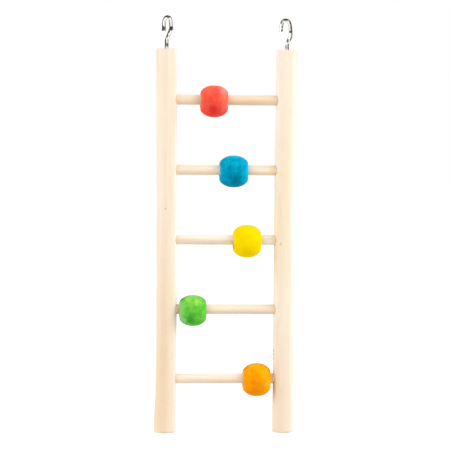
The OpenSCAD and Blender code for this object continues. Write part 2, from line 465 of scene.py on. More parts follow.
def bent_line(steps, spacing):
    """The middle line of a wire bent in the XZ plane, and how far it leans over at each point.

    It starts at the origin and heads up. A step (length,) runs straight on. A step (radius,
    angle) bends towards -X, or towards +X where the angle is below zero. The heading at lean a
    is (-sin a, cos a). Returns x, z, lean and the length run so far.
    """
    x, z, lean, way = [np.zeros(1)], [np.zeros(1)], [np.zeros(1)], [np.zeros(1)]
    for step in steps:
        x0, z0, a0, w0 = x[-1][-1], z[-1][-1], lean[-1][-1], way[-1][-1]
        if len(step) == 1:
            count = max(2, round(step[0] / spacing))
            run = np.linspace(0, step[0], count + 1)[1:]
            x.append(x0 - run * math.sin(a0))
            z.append(z0 + run * math.cos(a0))
            lean.append(np.full(count, a0))
        else:
            radius, angle = step
            turn = math.copysign(radius, angle)
            count = max(6, round(radius * abs(angle) / spacing))
            a = a0 + np.linspace(0, angle, count + 1)[1:]
            x.append(x0 + turn * (np.cos(a) - math.cos(a0)))
            z.append(z0 + turn * (np.sin(a) - math.sin(a0)))
            lean.append(a)
            run = np.abs(a - a0) * radius
        way.append(w0 + run)
    return [np.concatenate(part) for part in (x, z, lean, way)]


def hook_steps(rise, knee, reach, flank, tip):
    """The steps that bend one hook: screw, knee, slope, elbow, leg, crown and tip. The crown is a
    close bend with a gentle one on either side of it, and flank is the radius of the leg's."""
    tangent = BEND_RADIUS * math.tan(HOOK_SLOPE / 2)
    elbow = knee + reach / math.tan(HOOK_SLOPE)
    crown = rise - WIRE_RADIUS - CROWN_RADIUS
    leg_end = crown - (flank - CROWN_RADIUS) * math.sin(FLANK_TURN)
    crown_lean = TIP_LEAN + FLANK_TURN
    tip_drop = tip + CROWN_RADIUS * math.sin(crown_lean)
    tip_drop -= TIP_FLANK_RADIUS * (math.sin(crown_lean) - math.sin(TIP_LEAN))
    return [
        (SCREW_LENGTH + knee - tangent,),
        (BEND_RADIUS, -HOOK_SLOPE),
        (reach / math.sin(HOOK_SLOPE) - 2 * tangent,),
        (BEND_RADIUS, HOOK_SLOPE),
        (leg_end - elbow - tangent,),
        (flank, FLANK_TURN),
        (CROWN_RADIUS, math.pi - FLANK_TURN - crown_lean),
        (TIP_FLANK_RADIUS, FLANK_TURN),
        (tip_drop / math.cos(TIP_LEAN),),
    ]


def wire_radius(way, angles):
    """The wire's radius at each length and angle: a point, a thread that winds up the screw, a
    smooth wire and a cut end.

    The thread is a ridge whose height is half of (1 + the cosine of its turn), to the fourth
    power.
    """
    threaded = ease(way, *THREAD_START) * (1 - ease(way, *THREAD_END))
    wind = 0.5 + 0.5 * np.cos(FULL_TURN * way[:, None] / THREAD_PITCH - angles)
    ridge = THREAD_CORE + (WIRE_RADIUS - THREAD_CORE) * wind ** 4
    radius = WIRE_RADIUS + (ridge - WIRE_RADIUS) * threaded[:, None]
    radius *= np.clip(way / SCREW_POINT, 0.02, 1)[:, None]
    radius -= CUT_EASE * ease(way, way[-1] - CUT_EASE, way[-1])[:, None] ** 2
    return radius


def make_hook(node, rail, turn, form):
    """A wire swept along its bent line: the point at angle b is at the line plus the radius
    times (cos b) to the right of the heading and (sin b) along Y. Its cut end closes on a few
    rings that shrink in place."""
    rail_lowest, rail_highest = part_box(rail)
    seat_x = (rail_lowest.x + rail_highest.x) / 2
    seat_x += rail_bow(rail, rail_highest.z - rail_lowest.z)
    x, z, lean, way = bent_line(hook_steps(**form), WIRE_STEP)
    angles = np.linspace(0, FULL_TURN, WIRE_COLUMNS, endpoint=False)
    radius = wire_radius(way, angles)
    closing = np.linspace(0.8, 0.1, 4)
    radius = np.concatenate([radius, closing[:, None] * radius[-1]])
    x, z, lean, way = [np.append(line, np.full(len(closing), line[-1])) for line in (x, z, lean, way)]
    across = radius * np.cos(angles)
    deep = radius * np.sin(angles)
    flat_x = x[:, None] + across * np.cos(lean)[:, None]
    flat_z = z[:, None] + across * np.sin(lean)[:, None]
    rings = np.stack([
        seat_x + flat_x * math.cos(turn) - deep * math.sin(turn),
        flat_x * math.sin(turn) + deep * math.cos(turn),
        rail_highest.z - SCREW_LENGTH + flat_z,
    ], axis=-1)
    piece = skin(f"{node}_wire", rings)
    straight = np.stack([across, deep, np.broadcast_to(way[:, None], deep.shape)], axis=-1)
    give(piece, "straight", straight, "FLOAT_VECTOR")
    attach(piece, "frame")
    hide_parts(node)
    return piece


# Building materials from nodes

def paint(red, green, blue):
    """A colour as its screen values from 0 to 255, turned to linear light."""
    shares = np.array([red, green, blue]) / 255
    light = np.where(shares <= 0.04045, shares / 12.92, ((shares + 0.055) / 1.055) ** 2.4)
    return (*light.tolist(), 1.0)


def fill(tree, made, inputs):
    """Fills inputs of a node, each with a plain value or with another node's output."""
    for key, value in inputs.items():
        if isinstance(value, bpy.types.NodeSocket):
            tree.links.new(value, made.inputs[key])
        else:
            made.inputs[key].default_value = value


def add(tree, kind, inputs=None, **settings):
    """A new node with its settings and its inputs."""
    made = tree.nodes.new(kind)
    for name, value in settings.items():
        setattr(made, name, value)
    fill(tree, made, inputs or {})
    return made


def sums(tree, operation, first, second=0.0, third=0.0):
    """One step of arithmetic on numbers."""
    inputs = {0: first, 1: second, 2: third}
    return add(tree, "ShaderNodeMath", inputs, operation=operation).outputs[0]


def moves(tree, operation, first, second):
    """One step of arithmetic on places."""
    inputs = {0: first, 1: second}
    return add(tree, "ShaderNodeVectorMath", inputs, operation=operation).outputs[0]


def length_of(tree, place):
    """How far a place is from the origin."""
    return add(tree, "ShaderNodeVectorMath", {0: place}, operation="LENGTH").outputs["Value"]


def spread(tree, value, low, high, to_low=0.0, to_high=1.0):
    """A number carried smoothly from one range to another and held at its ends."""
    inputs = {"Value": value, "From Min": low, "From Max": high, "To Min": to_low, "To Max": to_high}
    return add(tree, "ShaderNodeMapRange", inputs, interpolation_type="SMOOTHSTEP").outputs["Result"]


def noise(tree, place, scale=1.0, detail=3.0, roughness=0.5, output=0):
    """Soft noise from 0 to 1 at a place."""
    inputs = {"Vector": place, "Scale": scale, "Detail": detail, "Roughness": roughness}
    return add(tree, "ShaderNodeTexNoise", inputs).outputs[output]


def stretch(tree, place, scale, shift=(0, 0, 0), turn=(0, 0, 0)):
    """A place that is scaled, then turned, then shifted."""
    inputs = {"Vector": place, "Location": shift, "Rotation": turn, "Scale": scale}
    return add(tree, "ShaderNodeMapping", inputs).outputs[0]


def millimetres(tree, place, turn=(0, 0, 0), shift=(0, 0, 0)):
    """A place in metres as millimetres, turned so that the grain runs along Z, then shifted."""
    return stretch(tree, place, (1000, 1000, 1000), shift, turn)


def blend_colours(tree, share, first, second):
    """The first colour, passing to the second as the share goes from 0 to 1."""
    inputs = {0: share, 6: first, 7: second}
    return add(tree, "ShaderNodeMix", inputs, data_type="RGBA").outputs[2]


def laid_over(tree, colour, mask, strength, over):
    """A colour with another laid over it, as much as the mask times the strength."""
    return blend_colours(tree, sums(tree, "MULTIPLY", mask, strength), colour, over)


def bumps(tree, height, strength, depth):
    """A normal that follows a height, of which 1 stands for a depth in metres."""
    inputs = {"Strength": strength, "Distance": depth, "Height": height}
    return add(tree, "ShaderNodeBump", inputs).outputs[0]


def group(name, inputs, outputs):
    """An empty node group with named sockets, what it is given, and the node that puts out."""
    kinds = {"value": "NodeSocketFloat", "vector": "NodeSocketVector"}
    tree = bpy.data.node_groups.new(name, "ShaderNodeTree")
    for label, kind in inputs.items():
        tree.interface.new_socket(name=label, in_out="INPUT", socket_type=kinds[kind])
    for label, kind in outputs.items():
        tree.interface.new_socket(name=label, in_out="OUTPUT", socket_type=kinds[kind])
    return tree, tree.nodes.new("NodeGroupInput").outputs, tree.nodes.new("NodeGroupOutput")


def use(tree, made, inputs):
    """Places a node group in a material."""
    return add(tree, "ShaderNodeGroup", inputs, node_tree=made).outputs


def attribute(tree, name, output="Fac"):
    """What the mesh carries at its points under a name."""
    return add(tree, "ShaderNodeAttribute", attribute_name=name).outputs[output]


def object_place(tree):
    """The place of each point in the object's own frame, in metres."""
    return add(tree, "ShaderNodeTexCoord").outputs["Object"]


def blank_material(name):
    """A material with only its shader, and the shader."""
    material = bpy.data.materials.new(name)
    material.use_nodes = True
    tree = material.node_tree
    shader = next(made for made in tree.nodes if made.type == "BSDF_PRINCIPLED")
    return material, tree, shader


# Effects that several materials use

def grain_group():
    """Sawn softwood round a pith line along Z, with the place in millimetres.

    Rings is the late wood of each year, a saw tooth over the wandering distance from the pith.
    Fibre is fine streaks along the grain, Tint is broad slow colour and Fleck is short dark pores.
    Relief is how high the surface stands: streaks and late wood raise it, and pores lower it.
    """
    tree, given, out = group(
        "sawn grain",
        {"Place": "vector", "Ring width": "value", "Wander": "value"},
        {"Rings": "value", "Fibre": "value", "Tint": "value", "Fleck": "value", "Relief": "value"},
    )
    place = given["Place"]
    slow = noise(tree, stretch(tree, place, (0.12, 0.12, 0.014)), detail=2.0, output="Color")
    sway = moves(tree, "MULTIPLY", moves(tree, "SUBTRACT", slow, (0.5, 0.5, 0.5)), given["Wander"])
    bent = moves(tree, "ADD", place, sway)
    from_pith = length_of(tree, moves(tree, "MULTIPLY", bent, (1, 1, 0)))
    share = sums(tree, "FRACT", sums(tree, "DIVIDE", from_pith, given["Ring width"]))
    late = sums(tree, "MULTIPLY", spread(tree, share, 0.25, 0.86), spread(tree, share, 1.0, 0.9))
    fibre = noise(tree, stretch(tree, bent, (3.2, 3.2, 0.07)), detail=4.0, roughness=0.6)
    tint = noise(tree, stretch(tree, bent, (0.35, 0.35, 0.02)), detail=2.0)
    pores = noise(tree, stretch(tree, bent, (6.0, 6.0, 0.5)), detail=1.0)
    fleck = spread(tree, pores, 0.70, 0.80)
    relief = sums(tree, "MULTIPLY_ADD", fibre, 0.7, sums(tree, "MULTIPLY", late, 0.3))
    relief = sums(tree, "MULTIPLY_ADD", fleck, -0.6, relief)
    fill(tree, out, {"Rings": late, "Fibre": fibre, "Tint": tint, "Fleck": fleck, "Relief": relief})
    return tree


def patch_group():
    """A soft patch round a middle with its own reach along X, Y and Z, broken up by a little noise.

    Its mask is 1 at the middle and 0 where the length of (place - middle) / reach is 1.
    """
    tree, given, out = group(
        "soft patch",
        {"Place": "vector", "Middle": "vector", "Reach": "vector", "Ragged": "value"},
        {"Mask": "value"},
    )
    away = moves(tree, "SUBTRACT", given["Place"], given["Middle"])
    share = length_of(tree, moves(tree, "DIVIDE", away, given["Reach"]))
    rough = sums(tree, "SUBTRACT", noise(tree, given["Place"], 0.9), 0.5)
    share = sums(tree, "MULTIPLY_ADD", rough, given["Ragged"], share)
    fill(tree, out, {"Mask": spread(tree, share, 1.0, 0.0)})
    return tree


GRAIN = grain_group()
PATCH = patch_group()


def touched_up(tree, place, colour, patches, ragged, crisp=False):
    """A colour with soft patches laid over it. A patch is a middle and a reach in millimetres, a
    strength and its colour. A crisp one ends sharply at two thirds of its reach."""
    for centre, reach, strength, patch_colour in patches:
        inputs = {"Place": place, "Middle": centre, "Reach": reach, "Ragged": ragged}
        mask = use(tree, PATCH, inputs)["Mask"]
        if crisp:
            mask = spread(tree, mask, 0.12, 0.4)
        colour = laid_over(tree, colour, mask, strength, patch_colour)
    return colour


# Materials

WHITE = (1, 1, 1, 1)
BLACK = (0, 0, 0, 1)
FLECK_BROWN = paint(190, 150, 110)
SAWN_AND_FOOT_SHADE_BROWN = paint(206, 187, 158)
SAWN_RING = paint(188, 150, 106)
HANDLED_AND_SHADE_TAN = paint(240, 208, 158)
LIP_BROWN = paint(150, 112, 66)
BARE_BORE = paint(205, 165, 120)
BRIGHT_PLATE = paint(231, 227, 222)
GREY_PLATE = paint(198, 190, 180)
# The dark of the painted reflections on the wire
DARK_REFLECTION_COLOUR = paint(48, 41, 32)

# How wood is turned: upright, its grain runs along Z, and lying, along X
UPRIGHT = (0, 0, 0)
LYING = (0, math.pi / 2, 0)

# Where a bead's middle lies from the pith of its wood, and from the middle of its clouds of dye
BEAD_FROM_PITH = (14, 9, 3)
BEAD_IN_CLOUDS = (3, 1, 7)


def bare_wood(name, pale, deep, tinted, turn, shift, patches):
    """Sanded softwood that has had no finish. Its sawn ends and the lips of its sockets are browner.
    The band at the foot's edge and the browning near a rung's sockets are partly painted shade, and
    its patches paint light and shade as well as its tone.
    """
    material, tree, shader = blank_material(name)
    place = object_place(tree)
    along_grain = millimetres(tree, place, turn, shift)
    grain = use(tree, GRAIN, {"Place": along_grain, "Ring width": 4.6, "Wander": 6.0})
    colour = blend_colours(tree, spread(tree, grain["Tint"], 0.35, 0.7, 0.0, 0.8), pale, tinted)
    colour = touched_up(tree, millimetres(tree, place), colour, patches, 0.5)
    colour = laid_over(tree, colour, grain["Rings"], 0.3, deep)
    colour = blend_colours(tree, spread(tree, grain["Fibre"], 0.42, 0.78, 0.0, 0.35), colour, deep)
    colour = laid_over(tree, colour, grain["Fleck"], 0.12, FLECK_BROWN)
    sawn = attribute(tree, "sawn")
    # sawn ends browner; in the band along the foot's edge this is partly painted shade
    colour = laid_over(tree, colour, sawn, 0.55, SAWN_AND_FOOT_SHADE_BROWN)
    colour = laid_over(tree, colour, sums(tree, "MULTIPLY", sawn, grain["Rings"]), 0.6, SAWN_RING)
    # glue and handling near the sockets, partly painted shade where the rung meets the rails
    colour = laid_over(tree, colour, attribute(tree, "handled_and_shaded"), 0.3, HANDLED_AND_SHADE_TAN)
    colour = blend_colours(tree, attribute(tree, "lip"), colour, LIP_BROWN)
    fill(tree, shader, {
        "Base Color": colour,
        "Roughness": spread(tree, grain["Fibre"], 0.3, 0.8, 0.52, 0.68),
        "Normal": bumps(tree, grain["Relief"], 0.4, 0.04 * MM),
        "Specular IOR Level": 0.3,
        "Sheen Weight": 0.35,
        "Sheen Roughness": 0.35,
    })
    return material


def dyed_wood(name, colour, deep, light, turn, mottle, patches):
    """Wood stained by a water dye, which sinks in unevenly and lets the grain show.

    Mottle is how strong its clouds are, and places are from the bead's own middle. Its patches are
    partly uneven dye and partly painted light and shade. The rims are paler, partly for less dye and
    partly as a painted sheen, and the bore is bare.
    """
    material, tree, shader = blank_material(name)
    place = millimetres(tree, attribute(tree, "own_place", "Vector"))
    along_grain = stretch(tree, place, (1, 1, 1), BEAD_FROM_PITH, turn)
    grain = use(tree, GRAIN, {"Place": along_grain, "Ring width": 2.6, "Wander": 6.0})
    cloud_place = stretch(tree, place, (0.34, 0.34, 0.34), BEAD_IN_CLOUDS, turn)
    clouds = noise(tree, cloud_place, roughness=0.6)
    tone = blend_colours(tree, spread(tree, clouds, 0.35, 0.62, mottle, 0.0), colour, deep)
    tone = blend_colours(tree, spread(tree, clouds, 0.52, 0.75, 0.0, mottle), tone, light)
    tone = touched_up(tree, place, tone, patches, 0.6)
    tone = laid_over(tree, tone, grain["Rings"], 0.3 * mottle, deep)
    tone = blend_colours(tree, spread(tree, grain["Fibre"], 0.45, 0.8, 0.0, 0.3), tone, deep)
    # paler rims: partly less dye, partly a painted sheen along the ends' edges
    tone = laid_over(tree, tone, attribute(tree, "rim"), 0.35, light)
    tone = laid_over(tree, tone, attribute(tree, "bore"), 0.75, BARE_BORE)
    fill(tree, shader, {
        "Base Color": tone,
        "Roughness": spread(tree, grain["Fibre"], 0.3, 0.8, 0.45, 0.6),
        "Normal": bumps(tree, grain["Relief"], 0.4, 0.04 * MM),
        "Specular IOR Level": 0.02,
    })
    return material


def bright_wire(painted_reflections):
    """Plated steel wire with fine lines from the drawing die, faint dents, a few dull spots and painted
    dark reflections.

    A painted reflection is a dark place that is not metal: its middle along X and Z, its reach along
    X and Z, and its strength.
    """
    material, tree, shader = blank_material("bright wire")
    straight = millimetres(tree, attribute(tree, "straight", "Vector"))
    lines = noise(tree, stretch(tree, straight, (9.0, 9.0, 0.25)))
    dents = noise(tree, stretch(tree, straight, (0.8, 0.8, 0.45)), detail=1.0)
    spots = noise(tree, straight, 1.3, detail=4.0)
    spotted = spread(tree, spots, 0.5, 0.75, 0.0, 0.5)
    colour = blend_colours(tree, spotted, BRIGHT_PLATE, GREY_PLATE)
    patches = [((x, 0, z), (wide, 20, tall), strength, WHITE) for x, z, wide, tall, strength in painted_reflections]
    # painted dark reflections, laid on as dark places that are not metal
    painted_dark_reflection = touched_up(tree, millimetres(tree, object_place(tree)), BLACK, patches, 0.3, crisp=True)
    spot_roughness = spread(tree, spots, 0.5, 0.75, 0.01, 0.08)
    fill(tree, shader, {
        "Base Color": blend_colours(tree, painted_dark_reflection, colour, DARK_REFLECTION_COLOUR),
        "Metallic": sums(tree, "SUBTRACT", 1.0, painted_dark_reflection),
        "Roughness": sums(tree, "MULTIPLY_ADD", lines, 0.05, spot_roughness),
        "Normal": bumps(tree, sums(tree, "MULTIPLY_ADD", dents, 6.0, lines), 0.3, 0.02 * MM),
        "Specular IOR Level": 0.15,
    })
    return material


# The object

# The pale, the deep and the tinted colour of the bare woods
RAIL_TONES = [paint(252, 236, 214), paint(238, 212, 182), paint(252, 231, 208)]
RUNG_TONES = [paint(247, 229, 206), paint(224, 197, 166), paint(245, 221, 191)]

# Soft patches on the woods: middle and reach in millimetres, strength and colour. Many of them
# paint light and shade, as noted at each
RAIL_TONE_AND_SHADING_PATCHES = {
    "left_rail": [
        # painted shade: darker and warmer towards the foot, where less of the lamps' light reaches
        ((-38.0, -5.0, 40), (8, 9, 125), 0.9, paint(242, 211, 177)),
        ((-42.2, -4.0, 22), (2.2, 4, 50), 0.8, paint(250, 216, 166)),
        ((-44.0, 0.0, 20), (1.6, 4, 50), 0.8, paint(214, 186, 150)),
        # painted highlight: the side towards the key softbox paled almost to white
        ((-31.0, -2.0, 130), (3.2, 6, 190), 0.85, paint(255, 251, 243)),
        # painted shade: a darker band down the front
        ((-35.0, -6.0, 150), (1.7, 4, 120), 0.45, paint(240, 212, 180)),
        ((-37.8, -6.4, 140.7), (0.6, 1.0, 1.2), 0.75, paint(146, 106, 70)),
    ],
    "right_rail": [
        # painted light: paler towards the top, nearer the lamps
        ((37.0, -1.0, 240), (10, 10, 75), 0.7, paint(255, 244, 228)),
        # painted shade: darker and warmer towards the foot
        ((36.0, -5.0, 0), (8, 9, 90), 0.7, paint(244, 218, 186)),
        # painted highlight: the side towards the key softbox paled almost to white
        ((43.0, -2.0, 130), (3.4, 6, 190), 0.9, paint(255, 252, 247)),
        # painted light: two paler strips on the inner side, where the other rail shades it from the
        # fill softbox
        ((31.2, -3.0, 205), (2.6, 6, 80), 0.7, paint(255, 250, 238)),
        ((31.2, -4.0, 70), (2.4, 5, 60), 0.5, paint(255, 246, 232)),
        # painted shadow of the orange bead, below the end of rung 5
        ((31.0, -3.6, 26), (1.7, 4, 9), 0.7, paint(206, 162, 118)),
        # painted shade: a darker band down the front
        ((36.4, -6.2, 140), (3.2, 4, 80), 0.5, paint(250, 224, 176)),
        ((32.6, -4.6, 120.6), (1.8, 3, 3.2), 0.5, paint(255, 230, 170)),
        ((34.3, -5.4, 119.0), (1.0, 2.4, 2.0), 0.75, paint(206, 184, 130)),
        ((33.6, -5.4, 162.4), (3.6, 3, 2.8), 0.55, paint(252, 216, 134)),
        ((30.4, 0.6, 90), (2.2, 4.4, 62), 0.65, paint(204, 186, 162)),
        ((30.4, 0.0, 50), (2.0, 4.4, 6), 0.7, paint(200, 178, 150)),
        ((30.7, -1.6, 51.6), (0.9, 1.0, 0.8), 1.0, paint(122, 84, 52)),
        ((30.8, -2.0, 49.2), (0.9, 1.0, 0.8), 1.0, paint(122, 84, 52)),
        ((30.7, -1.6, 46.4), (0.9, 1.0, 0.8), 0.9, paint(122, 84, 52)),
    ],
}
RUNG_TONE_AND_SHADING_PATCHES = {
    "rung_1": [
        ((12.0, -3.0, 207), (36, 8, 6), 0.8, paint(240, 204, 162)),
        ((-18.0, -3.0, 208), (6, 6, 5), 0.5, paint(226, 190, 146)),
        # painted shade along the underside
        ((8.0, -1.0, 205.2), (48, 5, 2.0), 0.6, paint(228, 190, 132)),
    ],
    "rung_2": [
        ((6.0, -3.0, 164), (5, 6, 5), 0.5, paint(228, 196, 158)),
        # painted light along the top
        ((-6.0, -1.0, 167), (60, 6, 3.6), 0.6, paint(252, 244, 226)),
        # painted light: the right end kept pale against the shade near the rail
        ((25.0, -3.0, 164), (10, 8, 6), 0.5, paint(255, 244, 222)),
        ((28.4, -3.0, 165.0), (2.6, 6, 4), 0.6, paint(255, 218, 136)),
        # painted shade along the underside
        ((0.0, -1.0, 161.5), (50, 5, 2.0), 0.6, paint(232, 202, 148)),
    ],
    "rung_3": [
        # painted light along the top
        ((-6.0, -1.0, 123.5), (60, 6, 3.6), 0.8, paint(255, 246, 236)),
        # painted light: the right end kept pale against the shade near the rail
        ((24.0, -3.0, 120.5), (14, 8, 6), 0.7, paint(255, 246, 230)),
        # painted shade along the underside
        ((0.0, -1.0, 117.8), (50, 5, 2.0), 0.6, paint(234, 204, 152)),
    ],
    "rung_4": [
        # painted shade: the left end shaded by the green bead
        ((-28.6, -3.0, 76.5), (3.2, 6, 4.5), 0.95, paint(202, 172, 124)),
        # painted light along the top
        ((8.0, -1.0, 79.8), (60, 6, 3.6), 0.6, paint(250, 240, 226)),
    ],
    "rung_5": [
        # painted reflected light: a warm glow from the orange bead on the right end
        ((29.5, -3.0, 33), (4, 6, 5), 0.8, paint(252, 205, 158)),
        # painted light along the top
        ((-10.0, -1.0, 36.2), (50, 6, 3.6), 0.8, paint(255, 246, 236)),
    ],
}

# Where the object's origin lies from the pith of each rail, in millimetres
RAIL_PITHS = {"left_rail": (58, 14, 0), "right_rail": (-20, 24, 0)}

for node, side in RAILS.items():
    rail = make_rail(node, side)
    rail.data.materials.append(bare_wood(
        f"{node} wood", *RAIL_TONES, UPRIGHT, RAIL_PITHS[node], RAIL_TONE_AND_SHADING_PATCHES[node]))

for number, node in enumerate(RUNGS):
    rung = make_rung(node, RUNG_SEED + number)
    from_pith = (12 + 4 * number, 17 - 3 * number, 11 * number)
    rung.data.materials.append(bare_wood(
        f"{node} wood", *RUNG_TONES, LYING, from_pith, RUNG_TONE_AND_SHADING_PATCHES[node]))

# The dyes, with patches that are placed from the bead's own middle. The patches are partly uneven
# dye and partly painted light and shade
BEAD_DYES_AND_SHADING = {
    "red_bead": {
        "colour": paint(248, 88, 68), "deep": paint(226, 48, 46), "light": paint(255, 122, 100),
        "turn": LYING, "mottle": 0.3,
        # painted shade low on the front; painted light at the upper right, the right end, the top and
        # the left edge; partly uneven dye
        "patches": [
            ((-0.7, -8.0, -5.3), (5.5, 8, 6.7), 0.8, paint(226, 40, 42)),
            ((5.6, -4.0, 5.6), (5.0, 8, 6.0), 0.95, paint(255, 158, 140)),
            ((5.2, -5.0, 0.2), (5.4, 8, 8.5), 0.8, paint(255, 134, 106)),
            ((8.4, -3.0, -2.0), (2.4, 8, 7.0), 0.7, paint(255, 158, 138)),
            ((-4.0, -6.0, 6.0), (5.0, 8, 4.5), 0.6, paint(255, 120, 92)),
            ((0.0, -2.0, 9.4), (8.0, 8, 3.0), 0.6, paint(255, 134, 104)),
            ((-8.2, -3.0, 0.5), (3.0, 8, 8.0), 0.75, paint(252, 132, 114)),
        ],
    },
    "blue_bead": {
        "colour": paint(0, 154, 188), "deep": paint(0, 116, 156), "light": paint(0, 188, 220),
        "turn": UPRIGHT, "mottle": 0.5,
        # painted shade low on the front and at the bottom; painted light on the top, the upper half and
        # both ends; the small patches are uneven dye
        "patches": [
            ((1.2, -7.0, -4.6), (4.6, 8, 5.0), 0.85, paint(0, 96, 130)),
            ((-2.6, -8.0, -1.6), (1.8, 8, 3.6), 0.6, paint(0, 116, 162)),
            ((-1.0, -5.0, -8.4), (5.0, 8, 2.6), 0.5, paint(0, 120, 162)),
            ((-5.4, -6.0, 0.8), (2.4, 8, 3.6), 0.6, paint(0, 178, 212)),
            ((-8.4, -3.0, -0.5), (2.2, 8, 7.0), 0.8, paint(0, 198, 236)),
            ((6.2, -5.0, -5.0), (3.0, 8, 5.0), 0.6, paint(0, 182, 214)),
            ((8.4, -4.0, 0.0), (3.4, 8, 7.5), 0.95, paint(0, 232, 255)),
            ((0.6, -9.0, 3.6), (1.8, 8, 5.5), 0.6, paint(0, 172, 186)),
            ((-4.5, -5.0, 6.0), (4.5, 8, 4.0), 0.7, paint(0, 186, 216)),
            ((4.8, -5.0, 6.0), (4.5, 8, 4.4), 0.6, paint(0, 190, 228)),
            ((0.0, -2.0, 9.4), (8.0, 8, 2.6), 0.8, paint(0, 204, 234)),
            ((-2.6, -8.0, 2.6), (2.2, 8, 4.0), 0.5, paint(0, 132, 176)),
            ((-6.5, -5.0, -4.2), (2.2, 8, 2.2), 0.6, paint(0, 165, 230)),
            ((0.5, -7.0, 5.2), (3.2, 8, 3.6), 0.5, paint(0, 196, 232)),
            ((5.0, -7.0, -0.6), (2.6, 8, 4.0), 0.6, paint(0, 194, 230)),
            ((-5.2, -6.0, 3.6), (2.4, 8, 3.0), 0.4, paint(0, 188, 228)),
        ],
    },
    "yellow_bead": {
        "colour": paint(252, 219, 0), "deep": paint(246, 208, 0), "light": paint(255, 228, 4),
        "turn": LYING, "mottle": 0.35,
        # painted shade on the lower part, and painted light at both ends
        "patches": [
            ((0.0, -7.0, -7.0), (8.0, 8, 6.0), 0.4, paint(244, 206, 0)),
            ((8.8, -3.0, -4.0), (2.4, 8, 5.0), 0.7, paint(252, 230, 90)),
            ((-8.6, -4.0, -2.6), (0.9, 4, 3.0), 0.9, paint(140, 100, 40)),
            ((-8.8, -3.0, 2.0), (2.0, 8, 7.0), 0.6, paint(250, 226, 50)),
        ],
    },
    "green_bead": {
        "colour": paint(110, 205, 70), "deep": paint(64, 172, 46), "light": paint(142, 222, 98),
        "turn": UPRIGHT, "mottle": 0.5,
        # painted shade low on the front and at the upper corners; painted light on the upper half, at
        # the ends and along the top and bottom edges; the thin lines and small patches are uneven dye
        "patches": [
            ((-1.6, -7.0, -5.0), (5.0, 8, 4.8), 0.9, paint(40, 154, 38)),
            ((-2.4, -8.0, -1.4), (2.2, 8, 2.2), 0.6, paint(70, 180, 56)),
            ((2.4, -6.0, 6.2), (4.6, 8, 3.6), 0.8, paint(166, 234, 92)),
            ((-3.0, -5.0, 7.4), (4.0, 8, 3.6), 0.7, paint(156, 226, 104)),
            ((1.3, -9.0, -1.5), (0.8, 8, 5.8), 0.5, paint(112, 172, 44)),
            ((0.6, -9.0, 3.8), (1.2, 8, 1.6), 0.5, paint(128, 190, 60)),
            ((-6.6, -4.0, 2.5), (4.2, 8, 6.5), 0.85, paint(152, 218, 122)),
            ((-8.2, -3.0, -3.6), (3.2, 8, 8.0), 0.95, paint(184, 214, 176)),
            ((8.8, -3.0, -1.0), (2.2, 8, 8.0), 0.9, paint(168, 214, 132)),
            ((0.0, -1.0, 9.8), (8.0, 8, 2.2), 0.7, paint(176, 216, 130)),
            ((0.0, -1.0, -9.8), (8.0, 8, 2.0), 0.7, paint(140, 190, 116)),
            ((-0.6, -9.0, -1.6), (3.4, 8, 3.0), 0.5, paint(58, 164, 40)),
            ((2.8, -6.5, -6.4), (2.6, 8, 2.6), 0.5, paint(58, 166, 34)),
            ((-5.6, -4.5, -5.8), (2.6, 8, 3.4), 0.7, paint(160, 210, 156)),
            ((-7.4, 0.0, 7.4), (3.6, 7, 3.0), 1.0, paint(92, 118, 62)),
            ((7.6, 0.0, 7.4), (2.6, 6, 2.6), 0.8, paint(90, 140, 66)),
        ],
    },
    "orange_bead": {
        "colour": paint(251, 160, 4), "deep": paint(246, 132, 2), "light": paint(255, 186, 8),
        "turn": LYING, "mottle": 0.4,
        # painted light on the top and at both ends; painted shade low on the front and at the upper
        # corners; partly uneven dye
        "patches": [
            ((4.2, -6.0, 5.0), (5.0, 8, 5.0), 0.7, paint(255, 194, 2)),
            ((-1.0, -3.0, 8.6), (6.0, 8, 3.0), 0.7, paint(255, 196, 6)),
            ((6.4, -4.0, -1.5), (3.6, 8, 7.0), 0.85, paint(255, 206, 50)),
            ((8.8, -3.0, -3.0), (2.2, 8, 6.5), 0.85, paint(244, 218, 66)),
            ((-6.5, -4.0, 3.0), (3.6, 8, 7.0), 0.5, paint(255, 184, 8)),
            ((-8.8, -3.0, -3.0), (2.2, 8, 5.5), 0.8, paint(244, 188, 50)),
            ((-2.2, -9.0, -0.8), (3.4, 8, 2.8), 0.8, paint(248, 128, 4)),
            ((0.6, -9.0, -2.2), (1.8, 8, 1.8), 0.6, paint(228, 126, 4)),
            ((-1.5, -6.0, -6.6), (6.0, 8, 3.6), 0.7, paint(246, 126, 14)),
            ((5.2, -7.0, -1.6), (2.4, 8, 2.8), 0.4, paint(255, 208, 80)),
            ((-7.2, 0.0, 7.6), (3.6, 6.5, 2.8), 0.9, paint(196, 134, 36)),
            ((7.6, 0.0, 7.2), (2.6, 6.5, 3.2), 0.9, paint(190, 136, 50)),
        ],
    },
}

for number, node in enumerate(BEADS):
    bead = make_bead(node, BEAD_SEED + number)
    bead.data.materials.append(dyed_wood(node.replace("_bead", " dyed wood"), **BEAD_DYES_AND_SHADING[node]))

